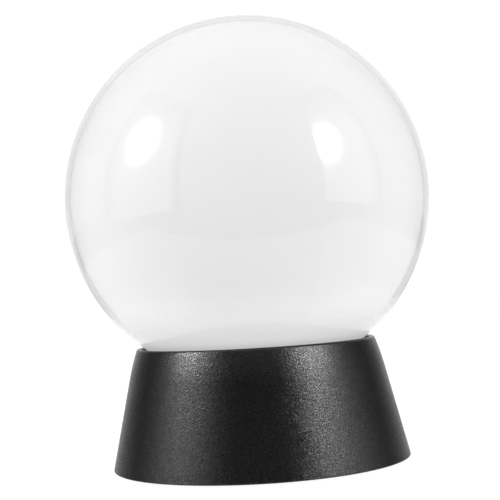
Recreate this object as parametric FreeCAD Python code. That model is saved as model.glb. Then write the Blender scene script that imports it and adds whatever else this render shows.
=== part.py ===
"""Light-up crystal ball: a milky globe on a tapered black base.

Millimetres, +Z up. The origin is the middle of the plane that the rubber feet stand on, and the
front of the base faces -Y. The globe is held by a bayonet collar, the lamp and its battery box are
inside the base, and the battery door and the power switch are underneath.
"""

import FreeCAD, Part
import math
import os

V = FreeCAD.Vector
UP = V(0, 0, 1)
OVER = 1.0  # how far a cutting tool stands past the face it opens

# Globe
GLOBE_R = 70.0
GLOBE_Z = 102.1
GLOBE_WALL = 2.1
LINER_GAP = 0.35
LINER_WALL = 0.8
NECK_R = 30.0
NECK_FILLET = 2.0
NECK_END_Z = 30.0

# Base housing: a cone that draws in softly below its rim, with a stepped deck inside
RIM_Z = 46.5
SKIRT_Z = 0.8
BASE_TOP_R = 46.5
BASE_BOTTOM_R = 57.0
BASE_WALL = 2.5
RIM_INNER_R = 44.0
RIM_ROUND = 1.0
SHOULDER_DROP = 6.2
SHOULDER_IN = 0.75
SHOULDER_ROUND = 82.0
GROOVE_Z = 43.3
SEAT_IN_R = 37.6
SEAT_OUT_R = 41.8
SEAT_IN_Z = 40.4
DECK_Z = 36.0
DECK_UNDER_Z = 33.6
DECK_HOLE_R = 32.9

# Bayonet: three lugs on the collar turn under the deck
LUGS = 3
LUG_FIRST_DEG = 30.0
LUG_HALF_DEG = 12.0
LUG_R = 35.8
LUG_LOW_Z = 31.0
LUG_GAP = 0.2
NOTCH_R = 36.3
NOTCH_HALF_DEG = 13.2
TWIST_DEG = 45.0
STOP_GAP_DEG = 0.6
STOP_DEG = 4.0
COLLAR_R = 32.8
COLLAR_LOW_Z = 28.5
COLLAR_TOP_Z = 36.4
COLLAR_LEDGE_R = 26.0
BOND_GAP = 0.05

# Foam ring under the globe
GASKET_IN_R = 38.2
GASKET_OUT_R = 41.2
GASKET_GAP = 0.1

# Bottom plate, its screws and the feet
PLATE_R = 53.3
PLATE_Z = 2.0
PLATE_TOP_Z = 4.4
PLATE_SCREWS = 4
PLATE_SCREW_R = 46.5
PLATE_SCREW_SINK = 1.4
BOSS_R = 3.4
BOSS_TOP_Z = 30.0
FEET = 4
FOOT_AT_R = 46.0
FOOT_R = 5.0
FOOT_TOP_Z = 2.6

# Screws: shank radius, the play where it grips and where it only passes through, and lengths
SHANK_R = 1.15
THREAD_GAP = 0.05
PASS_GAP = 0.25
HEAD_R = 2.4
HEAD_H = 1.3
PLATE_SCREW_L = 12.5
DECK_SCREW_L = 8.5
BOARD_SCREW_L = 5.0
RECESS_HALF_W = 0.25

# Lamp: the reflector disc hangs from posts, the board hangs from the disc
POSTS = 3
POST_FIRST_DEG = 45.0
POST_AT_R = 40.0
POST_R = 2.5
POST_L = 12.0
REFLECTOR_R = 42.4
REFLECTOR_Z = 24.0
REFLECTOR_TOP_Z = 25.5
BOARD_R = 24.0
BOARD_Z = 18.8
BOARD_TOP_Z = 20.4
PILLARS = 3
PILLAR_FIRST_DEG = 90.0
PILLAR_AT_R = 21.0
PILLAR_R = 2.4
LEDS = 3
LED_FIRST_DEG = 30.0
LED_AT_R = 12.0
LED_R = 2.5
LED_TIP_Z = 29.0
LED_LEG_R = 0.3
LED_LEG_AT = 1.27

# Battery box: three AAA cells side by side, each pointing the other way from its neighbour
CELLS = 3
CELL_R = 5.25
CELL_L = 44.5
CELL_PITCH = 11.1
CELL_Z = 9.85
BOX_HALF_X = 26.5
BOX_HALF_Y = 17.1
BOX_WALL = 1.5
BOX_ROOF_Z = 15.6
BOX_TOP_Z = 16.8
CONTACT_T = 0.4
TOUCH_GAP = 0.05
SPRING_WIRE_R = 0.3
SPRING_BIG_R = 3.0
SPRING_SMALL_R = 2.2
SPRING_TURNS = 4
TAB_TOP_Z = 18.6
TAB_HALF_W = 1.2
TERMINALS = ((1, -CELL_PITCH), (-1, CELL_PITCH))  # end wall and cell of the positive and negative tab

# Battery door: a flat lid with a round nose between two pintles
DOOR_TOP_Z = 3.4
DOOR_HALF_Y = 18.8
DOOR_END_X = 33.6
DOOR_START_X = -27.4
DOOR_GAP = 0.15
DOOR_HINGE_GAP = 0.65
HINGE_X = -30.0
HINGE_Z = 3.6
NOSE_R = HINGE_Z - PLATE_Z
NOSE_HALF_Y = 14.5
NOSE_GAP = 0.15
PINTLE_R = 0.8
PINTLE_L = 2.6
PINTLE_GAP = 0.07
HUMP_TOP_Z = 6.6
HUMP_START_X = -33.0
GRIPS = 7
GRIP_X = 4.0
GRIP_PITCH = 3.0
GRIP_R = 0.7
GRIP_HALF_Y = 9.0
PAD_T = 1.0
PAD_HALF_X = 16.0
PAD_HALF_Y = 15.0

# Captive door screw
SCREW_X = 30.5
SCREW_HEAD_R = 2.0
SCREW_HEAD_Z = 2.15
SCREW_NECK_Z = 3.0
SCREW_SHANK_R = 1.0
SCREW_TIP_Z = 9.2
SCREW_HOLE_R = 1.6
SCREW_PLAY = 0.08
RETAINER_R = 1.9
RETAINER_Z = 3.45
RETAINER_TOP_Z = 3.85
NUT_BOSS_R = 3.2
NUT_BOSS_TOP_Z = 10.2

# Power switch
SWITCH_Y = 34.0
SWITCH_TRAVEL = 4.0
CAN_HALF_X = 6.0
CAN_HALF_Y = 3.0
CAN_TOP_Z = 9.4
FLANGE_HALF_X = 9.6
FLANGE_TOP_Z = 5.0
SWITCH_SCREW_X = 7.9
SLIDER_Z = 1.2
SLIDER_HALF_X = 1.6
SLIDER_HALF_Y = 1.2
SLIDER_PLAY = 0.1
WIRE_R = 0.6


def polar(radius, degrees, z):
    """A point at a radius and angle round the Z axis."""
    angle = math.radians(degrees)
    return V(radius * math.cos(angle), radius * math.sin(angle), z)


def around(count, first_deg):
    """Evenly spaced angles in degrees."""
    return [first_deg + 360.0 * i / count for i in range(count)]


def outline(corners, place):
    """Closed wire through (u, v, round) corners, each rounded by its own radius."""
    count = len(corners)
    starts = []
    ends = []
    arcs = []
    for i in range(count):
        here = V(corners[i][0], corners[i][1], 0)
        before = V(corners[i - 1][0], corners[i - 1][1], 0)
        after = V(corners[(i + 1) % count][0], corners[(i + 1) % count][1], 0)
        to_before = (before - here).normalize()
        to_after = (after - here).normalize()
        radius = corners[i][2]
        if radius <= 0:
            starts.append(here)
            ends.append(here)
            arcs.append(None)
            continue
        half = math.acos(max(-1.0, min(1.0, to_before.dot(to_after)))) / 2
        cut = radius / math.tan(half)
        middle = (to_before + to_after).normalize()
        starts.append(here + to_before * cut)
        ends.append(here + to_after * cut)
        arcs.append(here + middle * (radius / math.sin(half) - radius))
    edges = []
    for i in range(count):
        if arcs[i] is not None:
            edges.append(Part.Arc(place(starts[i]), place(arcs[i]), place(ends[i])).toShape())
        first = place(ends[i])
        last = place(starts[(i + 1) % count])
        if first.distanceToPoint(last) > 1e-6:
            edges.append(Part.makeLine(first, last))
    return Part.Wire(edges)


def section(corners):
    """Face in the XZ plane from (radius, z, round) corners."""
    return Part.Face(outline(corners, lambda p: V(p.x, 0, p.y)))


def lathe(corners, degrees=360.0, start_deg=0.0):
    """Turned solid from (radius, z, round) corners."""
    solid = section(corners).revolve(V(0, 0, 0), UP, degrees)
    solid.rotate(V(0, 0, 0), UP, start_deg)
    return solid


def slab(corners, low, high):
    """Plate of (x, y, round) corners between two heights."""
    face = Part.Face(outline(corners, lambda p: V(p.x, p.y, low)))
    return face.extrude(V(0, 0, high - low))


def block(x0, x1, y0, y1, z0, z1, rounding=0.0):
    """Box between two corners, with rounded vertical edges if asked."""
    corners = [(x0, y0, rounding), (x1, y0, rounding), (x1, y1, rounding), (x0, y1, rounding)]
    return slab(corners, z0, z1)


def rod(at, radius, length, axis=UP):
    """Cylinder from a point along an axis."""
    return Part.makeCylinder(radius, length, at, axis)


def drill(at, radius, low, high):
    """Tool for a vertical hole that opens both the lower and the upper height."""
    return rod(V(at.x, at.y, low - OVER), radius, high - low + 2 * OVER)


def blind_drill(at, radius, low, depth):
    """Tool for a vertical hole that opens only the lower height."""
    return rod(V(at.x, at.y, low - OVER), radius, depth + OVER)


def cross_recess(low, reach, depth):
    """Tool for a screwdriver's cross on the Z axis, cut upwards from a height."""
    one = block(-reach, reach, -RECESS_HALF_W, RECESS_HALF_W, low, low + depth)
    two = block(-RECESS_HALF_W, RECESS_HALF_W, -reach, reach, low, low + depth)
    return one.fuse(two)


def pan_screw(head_at, shank_r, shank_l, head_r, head_h):
    """Pan-head screw that points up; head_at is the middle of the seat under its head."""
    head = lathe([(0, -head_h, 0), (head_r, -head_h, 0.5), (head_r, 0, 0), (0, 0, 0)])
    shank = lathe([(0, 0, 0), (shank_r, 0, 0), (shank_r, shank_l - shank_r, 0), (0, shank_l, 0)])
    recess = cross_recess(-head_h, head_r * 0.62, head_h * 0.6)
    screw = head.fuse(shank).cut(recess)
    screw.translate(head_at)
    return screw.removeSplitter()


def globe_under_z(radius):
    """Height of the globe's underside at a radius."""
    return GLOBE_Z - math.sqrt(GLOBE_R ** 2 - radius ** 2)


def cone_r(z):
    """Outer radius of the base at a height."""
    return BASE_BOTTOM_R + (BASE_TOP_R - BASE_BOTTOM_R) * (z - SKIRT_Z) / (RIM_Z - SKIRT_Z)


def cone_inner_r(z):
    """Inner radius of the base wall at a height."""
    slope = math.atan((BASE_BOTTOM_R - BASE_TOP_R) / (RIM_Z - SKIRT_Z))
    return cone_r(z) - BASE_WALL / math.cos(slope)


def globe_layer(outer, inner):
    """Ball with a neck, whose wall runs from one depth to another below the globe's surface."""
    corner_r = NECK_R + NECK_FILLET
    reach = GLOBE_R + NECK_FILLET
    corner_z = GLOBE_Z - math.sqrt(reach ** 2 - corner_r ** 2)
    lean = math.asin(corner_r / reach)

    def side(depth):
        ball = GLOBE_R - depth
        bend = NECK_FILLET + depth
        top = V(0, 0, GLOBE_Z + ball)
        equator = V(ball, 0, GLOBE_Z)
        join = V(ball * math.sin(lean), 0, GLOBE_Z - ball * math.cos(lean))
        turn = (math.pi / 2 + lean) / 2
        bent = V(corner_r - bend * math.sin(turn), 0, corner_z + bend * math.cos(turn))
        neck_top = V(corner_r - bend, 0, corner_z)
        neck_end = V(corner_r - bend, 0, NECK_END_Z)
        return top, equator, join, bent, neck_top, neck_end

    out = side(outer)
    back = side(inner)
    edges = [
        Part.Arc(out[0], out[1], out[2]).toShape(),
        Part.Arc(out[2], out[3], out[4]).toShape(),
        Part.makeLine(out[4], out[5]),
        Part.makeLine(out[5], back[5]),
        Part.makeLine(back[5], back[4]),
        Part.Arc(back[4], back[3], back[2]).toShape(),
        Part.Arc(back[2], back[1], back[0]).toShape(),
        Part.makeLine(back[0], out[0]),
    ]
    return Part.Face(Part.Wire(edges)).revolve(V(0, 0, 0), UP, 360)


def globe_shell():
    """Clear outer wall of the globe."""
    return globe_layer(0.0, GLOBE_WALL)


def opal_liner():
    """Milky skin just inside the clear wall."""
    return globe_layer(GLOBE_WALL + LINER_GAP, GLOBE_WALL + LINER_GAP + LINER_WALL)


def globe_collar():
    """Ring bonded to the neck, with three bayonet lugs."""
    ring = lathe([
        (COLLAR_LEDGE_R, COLLAR_LOW_Z, 0.3),
        (COLLAR_R, COLLAR_LOW_Z, 0.5),
        (COLLAR_R, COLLAR_TOP_Z, 0.3),
        (NECK_R + BOND_GAP, COLLAR_TOP_Z, 0),
        (NECK_R + BOND_GAP, NECK_END_Z, 0),
        (COLLAR_LEDGE_R, NECK_END_Z, 0.3),
    ])
    overlap = 0.5
    for angle in around(LUGS, LUG_FIRST_DEG):
        lug = lathe([
            (COLLAR_R - overlap, LUG_LOW_Z, 0),
            (LUG_R, LUG_LOW_Z, 0.3),
            (LUG_R, DECK_UNDER_Z - LUG_GAP, 0.3),
            (COLLAR_R - overlap, DECK_UNDER_Z - LUG_GAP, 0),
        ], 2 * LUG_HALF_DEG, angle - LUG_HALF_DEG)
        ring = ring.fuse(lug)
    return ring.removeSplitter()


def housing_body():
    """Turned body of the base: skirt, rim, groove, foam seat and deck."""
    groove_under = 40.9
    return lathe([
        (BASE_BOTTOM_R, SKIRT_Z, 0.4),
        (cone_r(RIM_Z - SHOULDER_DROP), RIM_Z - SHOULDER_DROP, SHOULDER_ROUND),
        (BASE_TOP_R - SHOULDER_IN, RIM_Z, RIM_ROUND),
        (RIM_INNER_R, RIM_Z, 0.5),
        (RIM_INNER_R - 0.2, GROOVE_Z, 0.3),
        (SEAT_OUT_R, GROOVE_Z, 0),
        (SEAT_IN_R, SEAT_IN_Z, 0),
        (SEAT_IN_R - 0.3, DECK_Z, 0.3),
        (DECK_HOLE_R, DECK_Z, 0.3),
        (DECK_HOLE_R, DECK_UNDER_Z, 0),
        (SEAT_IN_R + 2.2, DECK_UNDER_Z, 0),
        (SEAT_IN_R + 2.2, SEAT_IN_Z - 2.1, 0),
        (RIM_INNER_R - 0.4, groove_under, 0),
        (cone_inner_r(groove_under), groove_under, 0),
        (cone_inner_r(SKIRT_Z), SKIRT_Z, 0.3),
    ])


def base_housing():
    """Tapered base with its bayonet notches, stops, screw bosses and lamp posts."""
    body = housing_body()
    stop_low = LUG_LOW_Z - LUG_GAP
    stop_in = DECK_HOLE_R + 0.4
    stop_out = NOTCH_R + 1.7
    stop_high = DECK_UNDER_Z + 0.4
    for angle in around(LUGS, LUG_FIRST_DEG):
        notch_mid = angle + TWIST_DEG
        body = body.cut(lathe([
            (DECK_HOLE_R - OVER, DECK_UNDER_Z - OVER, 0),
            (NOTCH_R, DECK_UNDER_Z - OVER, 0),
            (NOTCH_R, DECK_Z + OVER, 0),
            (DECK_HOLE_R - OVER, DECK_Z + OVER, 0),
        ], 2 * NOTCH_HALF_DEG, notch_mid - NOTCH_HALF_DEG))
        for edge in (angle - LUG_HALF_DEG - STOP_GAP_DEG - STOP_DEG,
                     notch_mid + LUG_HALF_DEG + STOP_GAP_DEG):
            body = body.fuse(lathe([
                (stop_in, stop_low, 0),
                (stop_out, stop_low, 0),
                (stop_out, stop_high, 0),
                (stop_in, stop_high, 0),
            ], STOP_DEG, edge))
    rib_half = 0.8
    rib_low = PLATE_TOP_Z + 2.0
    bury = 1.0
    core = Part.makeCone(cone_r(PLATE_TOP_Z) - bury, cone_r(BOSS_TOP_Z) - bury,
                         BOSS_TOP_Z - PLATE_TOP_Z, V(0, 0, PLATE_TOP_Z))
    grip_r = SHANK_R + THREAD_GAP
    for angle in around(PLATE_SCREWS, 0.0):
        at = polar(PLATE_SCREW_R, angle, PLATE_TOP_Z)
        boss = rod(at, BOSS_R, BOSS_TOP_Z - PLATE_TOP_Z)
        rib = block(PLATE_SCREW_R, BASE_BOTTOM_R, -rib_half, rib_half, rib_low, BOSS_TOP_Z)
        rib.rotate(V(0, 0, 0), UP, angle)
        body = body.fuse(boss.fuse(rib).common(core))
        body = body.cut(blind_drill(at, grip_r, PLATE_TOP_Z, PLATE_SCREW_L))
    for angle in around(POSTS, POST_FIRST_DEG):
        at = polar(POST_AT_R, angle, REFLECTOR_TOP_Z)
        body = body.fuse(rod(at, POST_R, POST_L))
        body = body.cut(blind_drill(at, grip_r, REFLECTOR_TOP_Z, DECK_SCREW_L))
    return body.removeSplitter()


def seat_gasket():
    """Foam ring between the seat and the globe."""
    slope = (GROOVE_Z - SEAT_IN_Z) / (SEAT_OUT_R - SEAT_IN_R)
    inner_seat = SEAT_IN_Z + (GASKET_IN_R - SEAT_IN_R) * slope
    outer_seat = SEAT_IN_Z + (GASKET_OUT_R - SEAT_IN_R) * slope
    return lathe([
        (GASKET_IN_R, inner_seat, 0),
        (GASKET_OUT_R, outer_seat, 0),
        (GASKET_OUT_R, globe_under_z(GASKET_OUT_R) - GASKET_GAP, 0),
        (GASKET_IN_R, globe_under_z(GASKET_IN_R) - GASKET_GAP, 0),
    ])


def light_deck():
    """White reflector disc with holes for the lamps and pillars for the board."""
    disc = lathe([
        (0, REFLECTOR_Z, 0),
        (REFLECTOR_R, REFLECTOR_Z, 0.3),
        (REFLECTOR_R, REFLECTOR_TOP_Z, 0.3),
        (0, REFLECTOR_TOP_Z, 0),
    ])
    for angle in around(PILLARS, PILLAR_FIRST_DEG):
        at = polar(PILLAR_AT_R, angle, BOARD_TOP_Z)
        disc = disc.fuse(rod(at, PILLAR_R, REFLECTOR_TOP_Z - BOARD_TOP_Z))
        disc = disc.cut(blind_drill(at, SHANK_R + THREAD_GAP, BOARD_TOP_Z, BOARD_SCREW_L - 1.0))
    for angle in around(LEDS, LED_FIRST_DEG):
        disc = disc.cut(drill(polar(LED_AT_R, angle, 0), LED_R + PASS_GAP, REFLECTOR_Z, REFLECTOR_TOP_Z))
    for angle in around(POSTS, POST_FIRST_DEG):
        disc = disc.cut(drill(polar(POST_AT_R, angle, 0), SHANK_R + PASS_GAP, REFLECTOR_Z, REFLECTOR_TOP_Z))
    return disc.removeSplitter()


def light_deck_screws():
    """Three screws that hold the reflector to the housing's posts."""
    return [pan_screw(polar(POST_AT_R, angle, REFLECTOR_Z), SHANK_R, DECK_SCREW_L, HEAD_R - 0.2, HEAD_H)
            for angle in around(POSTS, POST_FIRST_DEG)]


def led_leg_points():
    """Places of the lamp legs on the board."""
    points = []
    for angle in around(LEDS, LED_FIRST_DEG):
        middle = polar(LED_AT_R, angle, 0)
        side = polar(LED_LEG_AT, angle + 90.0, 0)
        points.append(middle + side)
        points.append(middle - side)
    return points


def led_board():
    """Round circuit board."""
    board = rod(V(0, 0, BOARD_Z), BOARD_R, BOARD_TOP_Z - BOARD_Z)
    for angle in around(PILLARS, PILLAR_FIRST_DEG):
        at = polar(PILLAR_AT_R, angle, 0)
        board = board.cut(drill(at, SHANK_R + PASS_GAP, BOARD_Z, BOARD_TOP_Z))
    for at in led_leg_points():
        board = board.cut(drill(at, LED_LEG_R + THREAD_GAP, BOARD_Z, BOARD_TOP_Z))
    return board


def led_board_screws():
    """Three screws that hold the board to the reflector's pillars."""
    return [pan_screw(polar(PILLAR_AT_R, angle, BOARD_Z), SHANK_R, BOARD_SCREW_L, HEAD_R - 0.4, HEAD_H - 0.1)
            for angle in around(PILLARS, PILLAR_FIRST_DEG)]


def leds():
    """Three round-topped 5 mm lamps with their legs."""
    flange_h = 1.0
    lamps = []
    for angle in around(LEDS, LED_FIRST_DEG):
        lamp = lathe([
            (0, BOARD_TOP_Z, 0),
            (LED_R + 0.4, BOARD_TOP_Z, 0),
            (LED_R + 0.4, BOARD_TOP_Z + flange_h, 0),
            (LED_R, BOARD_TOP_Z + flange_h, 0),
            (LED_R, LED_TIP_Z - LED_R, 0),
            (0, LED_TIP_Z - LED_R, 0),
        ])
        lamp = lamp.fuse(Part.makeSphere(LED_R, V(0, 0, LED_TIP_Z - LED_R)))
        for side in (-1, 1):
            foot = V(0, side * LED_LEG_AT, BOARD_Z - 0.8)
            lamp = lamp.fuse(rod(foot, LED_LEG_R, BOARD_TOP_Z - BOARD_Z + 1.0))
        lamp = lamp.removeSplitter()
        lamp.translate(V(LED_AT_R, 0, 0))
        lamp.rotate(V(0, 0, 0), UP, angle)
        lamps.append(lamp)
    return lamps


def chip_leg(x, side, body_low, half_y):
    """Bent leg of the chip, from the middle of its body's side down to the board."""
    half_w = 0.2
    metal = 0.3
    shoulder_z = body_low + 0.5
    inner = half_y - metal
    knee = half_y + 0.4
    toe = half_y + 1.0
    shoulder = block(x - half_w, x + half_w, inner, knee, shoulder_z, shoulder_z + metal)
    drop = block(x - half_w, x + half_w, knee - metal, knee, BOARD_TOP_Z, shoulder_z + metal)
    sole = block(x - half_w, x + half_w, knee - metal, toe, BOARD_TOP_Z, BOARD_TOP_Z + metal)
    leg = shoulder.fuse(drop).fuse(sole)
    if side < 0:
        leg.rotate(V(x, 0, 0), UP, 180)
    return leg


def driver_chip():
    """Eight-legged chip in the middle of the board."""
    half_x = 2.5
    half_y = 2.0
    pitch = 1.27
    body_low = BOARD_TOP_Z + 0.2
    body_high = body_low + 1.4
    chip = block(-half_x, half_x, -half_y, half_y, body_low, body_high, 0.2)
    chip = chip.cut(rod(V(-half_x + 0.7, -half_y + 0.7, body_high - 0.2), 0.3, OVER))
    for i in range(4):
        for side in (-1, 1):
            chip = chip.fuse(chip_leg((i - 1.5) * pitch, side, body_low, half_y))
    return chip.removeSplitter()


def board_resistors():
    """Three chip resistors, one for each lamp."""
    parts = []
    for angle in around(LEDS, LED_FIRST_DEG + 60.0):
        resistor = block(-1.6, 1.6, -0.8, 0.8, BOARD_TOP_Z, BOARD_TOP_Z + 0.6, 0.1)
        resistor.translate(V(LED_AT_R, 0, 0))
        resistor.rotate(V(0, 0, 0), UP, angle)
        parts.append(resistor)
    return parts


def board_capacitor():
    """Small round capacitor that stands on the board."""
    can = lathe([(0, 0, 0), (2.0, 0, 0.2), (2.0, 3.2, 0.3), (0, 3.2, 0)])
    can.translate(V(-2.0, -7.5, BOARD_TOP_Z))
    return can


def plate_disc():
    """Disc of the bottom plate with its screw holes and foot sockets."""
    plate = lathe([
        (0, PLATE_Z, 0),
        (PLATE_R, PLATE_Z, 0.4),
        (PLATE_R, PLATE_TOP_Z, 0.4),
        (0, PLATE_TOP_Z, 0),
    ])
    for angle in around(PLATE_SCREWS, 0.0):
        at = polar(PLATE_SCREW_R, angle, 0)
        plate = plate.cut(blind_drill(at, HEAD_R + PASS_GAP, PLATE_Z, PLATE_SCREW_SINK))
        plate = plate.cut(drill(at, SHANK_R + PASS_GAP, PLATE_Z, PLATE_TOP_Z))
    for angle in around(FEET, 45.0):
        at = polar(FOOT_AT_R, angle, 0)
        plate = plate.cut(blind_drill(at, FOOT_R + 0.1, PLATE_Z, FOOT_TOP_Z - PLATE_Z))
    return plate


def battery_box():
    """Walls and roof over the cells, the hinge hump and the screw boss, before hollowing."""
    out_x = BOX_HALF_X + BOX_WALL
    out_y = BOX_HALF_Y + BOX_WALL
    hump_y = DOOR_HALF_Y + 0.4
    root_z = PLATE_TOP_Z - 0.4
    box = block(-out_x, out_x, -out_y, out_y, root_z, BOX_TOP_Z, 1.0)
    hump = block(HUMP_START_X, -BOX_HALF_X - 1.0, -hump_y, hump_y, root_z, HUMP_TOP_Z)
    boss = rod(V(SCREW_X, 0, root_z), NUT_BOSS_R, NUT_BOSS_TOP_Z - root_z)
    return box.fuse(hump).fuse(boss)


def hinge_cut():
    """Pocket for the door's nose, and the holes for its pintles."""
    pocket_r = NOSE_R + NOSE_GAP
    pocket_half = NOSE_HALF_Y + 0.2
    nose = rod(V(HINGE_X, -pocket_half, HINGE_Z), pocket_r, 2 * pocket_half, V(0, 1, 0))
    throat = block(HINGE_X - pocket_r, DOOR_START_X, -pocket_half, pocket_half, PLATE_Z - OVER, HINGE_Z)
    over = block(HINGE_X, DOOR_START_X, -pocket_half, pocket_half, PLATE_Z, HINGE_Z + 0.2)
    reach = NOSE_HALF_Y + PINTLE_L + 0.2
    pin = rod(V(HINGE_X, -reach, HINGE_Z), PINTLE_R + PINTLE_GAP, 2 * reach, V(0, 1, 0))
    return nose.fuse(throat).fuse(over).fuse(pin)


def terminal_slots():
    """Two narrow slots in the roof for the terminals' solder tabs."""
    play = 0.1
    half = TAB_HALF_W + play
    cuts = []
    for side, y in TERMINALS:
        inner = side * (BOX_HALF_X - CONTACT_T - play)
        outer = side * (BOX_HALF_X + play)
        x0 = min(inner, outer)
        x1 = max(inner, outer)
        cuts.append(block(x0, x1, y - half, y + half, BOX_ROOF_Z - OVER, BOX_TOP_Z + OVER))
    return cuts


def switch_marks():
    """Off ring and on bar sunk into the plate beside the switch."""
    mark_x = 7.4
    mark_r = 1.1
    line = 0.4
    depth = 0.3
    ring_at = V(-mark_x, SWITCH_Y, PLATE_Z)
    ring = blind_drill(ring_at, mark_r, PLATE_Z, depth)
    ring = ring.cut(drill(ring_at, mark_r - line, PLATE_Z, PLATE_TOP_Z))
    bar = block(mark_x - line / 2, mark_x + line / 2, SWITCH_Y - mark_r, SWITCH_Y + mark_r,
                PLATE_Z - OVER, PLATE_Z + depth)
    return ring.fuse(bar)


def switch_slot():
    """Slot for the slider's stem, with a shallow thumb recess round it."""
    slot_x = SWITCH_TRAVEL / 2 + SLIDER_HALF_X + 0.3
    slot_y = SLIDER_HALF_Y + 0.2
    dish_x = slot_x + 1.0
    dish_y = slot_y + 1.2
    slot = block(-slot_x, slot_x, -slot_y, slot_y, PLATE_Z - OVER, PLATE_TOP_Z + OVER, 0.3)
    dish = block(-dish_x, dish_x, -dish_y, dish_y, PLATE_Z - OVER, PLATE_Z + 1.0, 1.0)
    return slot.fuse(dish).translated(V(0, SWITCH_Y, 0))


def bottom_plate():
    """Floor of the base, in one moulding with the battery box."""
    lid_y = DOOR_HALF_Y + DOOR_GAP
    inside = block(-BOX_HALF_X, BOX_HALF_X, -BOX_HALF_Y, BOX_HALF_Y, PLATE_Z - OVER, BOX_ROOF_Z, 0.5)
    rebate = block(DOOR_START_X - DOOR_HINGE_GAP, DOOR_END_X + DOOR_GAP, -lid_y, lid_y,
                   PLATE_Z - OVER, DOOR_TOP_Z + 0.1)
    screw_at = V(SCREW_X, 0, 0)
    cuts = [
        inside,
        rebate,
        hinge_cut(),
        blind_drill(screw_at, SCREW_HOLE_R, PLATE_Z, SCREW_TIP_Z - PLATE_Z + 0.5),
        blind_drill(screw_at, RETAINER_R + 0.6, PLATE_Z, RETAINER_TOP_Z - PLATE_Z + 0.3),
        switch_slot(),
        switch_marks(),
    ]
    cuts += terminal_slots()
    for side in (-1, 1):
        cuts.append(rod(V(side * SWITCH_SCREW_X, SWITCH_Y, PLATE_Z + 0.7), 0.85, PLATE_TOP_Z))
    plate = plate_disc().fuse(battery_box())
    for cut in cuts:
        plate = plate.cut(cut)
    return plate.removeSplitter()


def bottom_plate_screws():
    """Four screws from below into the housing's bosses."""
    seat_z = PLATE_Z + PLATE_SCREW_SINK
    return [pan_screw(polar(PLATE_SCREW_R, angle, seat_z), SHANK_R, PLATE_SCREW_L, HEAD_R, HEAD_H)
            for angle in around(PLATE_SCREWS, 0.0)]


def rubber_feet():
    """Four round feet in sockets under the plate."""
    feet = []
    for angle in around(FEET, 45.0):
        foot = lathe([(0, 0, 0), (FOOT_R - 0.3, 0, 0.5), (FOOT_R, FOOT_TOP_Z, 0), (0, FOOT_TOP_Z, 0)])
        foot.translate(polar(FOOT_AT_R, angle, 0))
        feet.append(foot)
    return feet


def cell_rows():
    """Each cell's side-to-side place, and which way its positive end points."""
    return [((i - (CELLS - 1) / 2.0) * CELL_PITCH, 1 if i % 2 == 0 else -1) for i in range(CELLS)]


def battery_cells():
    """Three AAA cells with their raised positive ends."""
    nub_r = 1.9
    nub_h = 1.0
    tip = BOX_HALF_X - CONTACT_T - TOUCH_GAP
    cells = []
    for y, way in cell_rows():
        cell = lathe([
            (0, 0, 0),
            (CELL_R, 0, 0.5),
            (CELL_R, CELL_L - nub_h, 0.6),
            (nub_r, CELL_L - nub_h, 0),
            (nub_r, CELL_L, 0.2),
            (0, CELL_L, 0),
        ])
        cell.rotate(V(0, 0, 0), V(0, 1, 0), 90)
        cell.translate(V(tip - CELL_L, 0, 0))
        if way < 0:
            cell.rotate(V(0, 0, 0), UP, 180)
        cell.translate(V(0, y, CELL_Z))
        cells.append(cell)
    return cells


def contact_springs():
    """Coned coil springs on the negative ends."""
    wall_face = BOX_HALF_X - CONTACT_T
    cell_end = CELL_L + TOUCH_GAP - wall_face
    length = wall_face - cell_end - 2 * TOUCH_GAP
    height = length - 2 * SPRING_WIRE_R
    cone = -math.degrees(math.atan((SPRING_BIG_R - SPRING_SMALL_R) / height))
    springs = []
    for y, way in cell_rows():
        helix = Part.makeLongHelix(height / SPRING_TURNS, height, SPRING_BIG_R, cone)
        first = helix.Edges[0]
        start = first.FirstParameter
        ring = Part.Wire(Part.makeCircle(SPRING_WIRE_R, first.valueAt(start), first.tangentAt(start)))
        coil = Part.Wire(helix).makePipeShell([ring], True, True)
        coil.rotate(V(0, 0, 0), V(0, 1, 0), 90)
        coil.translate(V(-wall_face + SPRING_WIRE_R + TOUCH_GAP, 0, 0))
        if way < 0:
            coil.rotate(V(0, 0, 0), UP, 180)
        coil.translate(V(0, y, CELL_Z))
        springs.append(coil)
    return springs


def contact_strip(side, y0, y1):
    """Flat metal contact against an end wall of the box."""
    inner = side * (BOX_HALF_X - CONTACT_T)
    outer = side * BOX_HALF_X
    half = 4.2
    return block(min(inner, outer), max(inner, outer), y0 - half, y1 + half, CELL_Z - half, CELL_Z + half)


def link_plates():
    """Two strips that join neighbouring cells."""
    return [contact_strip(-1, -CELL_PITCH, 0.0), contact_strip(1, 0.0, CELL_PITCH)]


def terminal_plates():
    """Positive and negative end contacts, with solder tabs that stand through the roof."""
    plates = []
    for side, y in TERMINALS:
        inner = side * (BOX_HALF_X - CONTACT_T)
        outer = side * BOX_HALF_X
        x0 = min(inner, outer)
        x1 = max(inner, outer)
        tab = block(x0, x1, y - TAB_HALF_W, y + TAB_HALF_W, CELL_Z, TAB_TOP_Z)
        plates.append(contact_strip(side, y, y).fuse(tab).removeSplitter())
    return plates


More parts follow.
